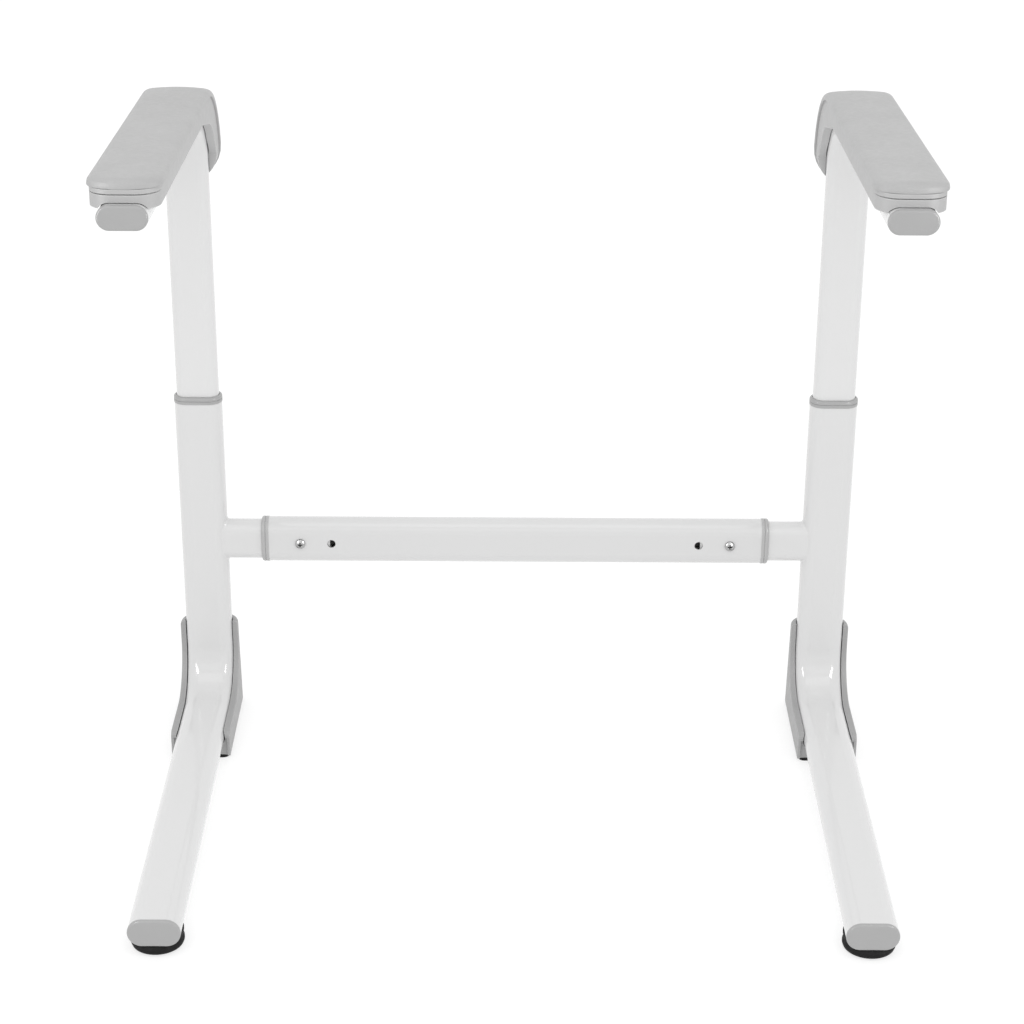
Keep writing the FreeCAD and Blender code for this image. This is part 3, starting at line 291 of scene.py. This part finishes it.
# On the cushion's own surface, this far above the tube's axis, the bend is longer than on the axis.
CUSHION_MIDDLE = 26
BENT = (BEND_RADIUS + CUSHION_MIDDLE) * TURN
CROWN_RISE = 2.0
FRONT_TIP, BACK_TIP = 21, 32
FRONT_SQUARENESS, BACK_SQUARENESS = 2.35, 2.2
FLUSH_BELOW, FRONT_TUCK = 22, 0.3
STRAIGHT_STEPS = 64


def over_the_arm(run, across, up):
    """From (distance along the cushion, sideways, height above the tube's axis) to the frame."""
    if run < STRAIGHT:
        forward = CUSHION_FRONT - run
        y = up * math.sin(RISE) - forward * math.cos(RISE)
        z = ARM_ORIGIN + forward * math.sin(RISE) + up * math.cos(RISE)
    elif run < STRAIGHT + BENT:
        angle = TURN * (1 - (run - STRAIGHT) / BENT)
        y = -BEND_RADIUS + (BEND_RADIUS + up) * math.cos(angle)
        z = BEND_BASE + (BEND_RADIUS + up) * math.sin(angle)
    else:
        y = up
        z = BEND_BASE - (run - STRAIGHT - BENT)
    return Vector((across, y + POST_Y, z)) * MM


CUSHION_LENGTH = STRAIGHT + BENT + BEND_BASE - CUSHION_END

# Rings from the underside, round the rolled edge and over the crown: (inset, height, crown share).
RINGS = ((9, 20.8, 0), (4, 20.8, 0), (1, 20.8, 0), (0.4, 20.9, 0), (0.1, 21.3, 0), (0, 21.9, 0),
         (0.05, 22.9, 0), (0.2, 24.0, 0.05), (0.5, 25.0, 0.15), (1.1, 25.8, 0.3), (2.0, 26.4, 0.5),
         (3.2, 26.85, 0.75), (4.8, 27.15, 0.92), (7, 27.3, 1), (11, 27.3, 1), (16, 27.3, 1),
         (22, 27.3, 1), (27, 27.3, 1))

END_TURNS = 14
TIP = END_TURNS // 2


def ring(inset, height, share):
    """One closed loop of (run, across, up), the ends drawn as superellipses."""
    half = CUSHION_HALF - inset
    points = []
    power, back_power = 2 / FRONT_SQUARENESS, 2 / BACK_SQUARENESS
    front_deep, back_deep = FRONT_TIP - inset * 0.35, BACK_TIP - inset * 0.6
    # The crown is flush with the face of its base at the front, and tucks in all round elsewhere.
    tuck = inset * (FRONT_TUCK if height < FLUSH_BELOW else 1)
    start, end = tuck + front_deep, CUSHION_LENGTH - inset - back_deep
    for i in range(END_TURNS + 1):
        a = math.pi * i / END_TURNS
        c, s = math.cos(a), math.sin(a)
        points.append((start - front_deep * s ** power,
                       math.copysign(abs(c) ** power, -c) * half))
    for i in range(1, STRAIGHT_STEPS):
        points.append((start + (end - start) * i / STRAIGHT_STEPS, half))
    for i in range(END_TURNS + 1):
        a = math.pi * i / END_TURNS
        c, s = math.cos(a), math.sin(a)
        points.append((end + back_deep * s ** back_power,
                       math.copysign(abs(c) ** back_power, c) * half))
    for i in range(1, STRAIGHT_STEPS):
        points.append((end - (end - start) * i / STRAIGHT_STEPS, -half))
    loop = []
    for run, across in points:
        crown = CROWN_RISE * share * (1 - (across / CUSHION_HALF) ** 2)
        loop.append((run, across, height + crown))
    return loop


def cushion(name, side):
    """Crowned armrest cushion with a rolled edge, over the arm and round the bend."""
    mesh = bmesh.new()
    middle = Vector((POST_X * side * MM, 0, 0))
    loops = []
    for inset, height, share in RINGS:
        loops.append([mesh.verts.new(over_the_arm(run, across, up) + middle)
                      for run, across, up in ring(inset, height, share)])
    count = len(loops[0])
    for low, high in zip(loops, loops[1:]):
        for i in range(count):
            mesh.faces.new((low[i], low[(i + 1) % count], high[(i + 1) % count], high[i]))
    # The top and the underside close like a ladder, from the front tip to the lower end's tip.
    for loop in (loops[0], loops[-1]):
        for i in range(count // 2):
            corners = [loop[(TIP + i) % count], loop[(TIP + i + 1) % count],
                       loop[(TIP - i - 1) % count], loop[(TIP - i) % count]]
            mesh.faces.new(list(dict.fromkeys(corners)))
    bmesh.ops.recalc_face_normals(mesh, faces=mesh.faces)
    data = bpy.data.meshes.new(name)
    mesh.to_mesh(data)
    mesh.free()
    for face in data.polygons:
        face.use_smooth = True
    piece = bpy.data.objects.new(name, data)
    bpy.context.scene.collection.objects.link(piece)
    data.materials.append(skin)
    return piece


for side_name, side in SIDES:
    pad = cushion("cushion_" + side_name, side)
    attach(pad, "arm_" + side_name)
    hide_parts("armrest_cushion_" + side_name)


# ------------------------------------------------------------------ room, light and camera

bpy.ops.mesh.primitive_plane_add(size=40, location=(0, 4, 0))
floor = bpy.context.object
floor.name = "floor"
floor_look = bpy.data.materials.new("pale_floor")
n = Nodes(floor_look)
n.link(n.mix(n.varied(n.noise(3, 4), 0, 1), grey(0.34), grey(0.36)),
       n.shader.inputs["Base Color"])
n.shader.inputs["Emission Color"].default_value = (1, 1, 1, 1)
n.shader.inputs["Emission Strength"].default_value = 0.68
n.shader.inputs["Roughness"].default_value = 0.9
n.shader.inputs["Specular IOR Level"].default_value = 0.1
floor.data.materials.append(floor_look)

world = bpy.data.worlds.new("studio")
bpy.context.scene.world = world
world.use_nodes = True
sky = world.node_tree.nodes["Background"]
sky.inputs["Color"].default_value = (1, 1, 1, 1)
sky.inputs["Strength"].default_value = 1.02


def softbox(name, place, aim, size, power):
    data = bpy.data.lights.new(name, "AREA")
    data.shape = "RECTANGLE"
    data.size, data.size_y = size
    data.energy = power
    light = bpy.data.objects.new(name, data)
    bpy.context.scene.collection.objects.link(light)
    light.location = place
    light.rotation_mode = "QUATERNION"
    light.rotation_quaternion = (Vector(aim) - Vector(place)).to_track_quat("-Z", "Y")
    return light


softbox("overhead", (0, -1.2, 3.0), (0, 0.0, 0.4), (2.4, 1.6), 11)
softbox("front", (0, -1.4, 1.0), (0, 0.2, 0.5), (1.8, 0.7), 1.6).visible_camera = False
# Two lamps that only gloss mirrors put a short highlight on each edge of the lower bends.
for side_name, side in SIDES:
    lamp = softbox("spark_" + side_name, (0.8 * side, -0.53, 0.63), (0, 0.18, 0.06),
                   (0.27, 0.6), 5.5)
    lamp.visible_diffuse = False
    lamp.visible_camera = False

# The camera stands in front of the open side, a little above the arms, looking down.
FOCAL_LENGTH, SENSOR_WIDTH = 86.33, 36
EYE = Vector((-0.0040, -1.9569, 1.1786))
PITCH, YAW, ROLL = math.radians(24.051), math.radians(0.024), math.radians(0.33)
ahead = Vector((math.sin(YAW) * math.cos(PITCH), math.cos(YAW) * math.cos(PITCH), -math.sin(PITCH)))
right = Vector((math.cos(YAW), -math.sin(YAW), 0))
above = right.cross(ahead)
level_right, level_above = right.copy(), above.copy()
right = level_right * math.cos(ROLL) + level_above * math.sin(ROLL)
above = level_above * math.cos(ROLL) - level_right * math.sin(ROLL)
lens = bpy.data.cameras.new("camera")
lens.sensor_width = SENSOR_WIDTH
lens.lens = FOCAL_LENGTH
camera = bpy.data.objects.new("camera", lens)
bpy.context.scene.collection.objects.link(camera)
camera.matrix_world = Matrix(((right.x, above.x, -ahead.x, EYE.x),
                              (right.y, above.y, -ahead.y, EYE.y),
                              (right.z, above.z, -ahead.z, EYE.z),
                              (0, 0, 0, 1)))
bpy.context.scene.camera = camera
bpy.context.scene.view_settings.view_transform = "Standard"
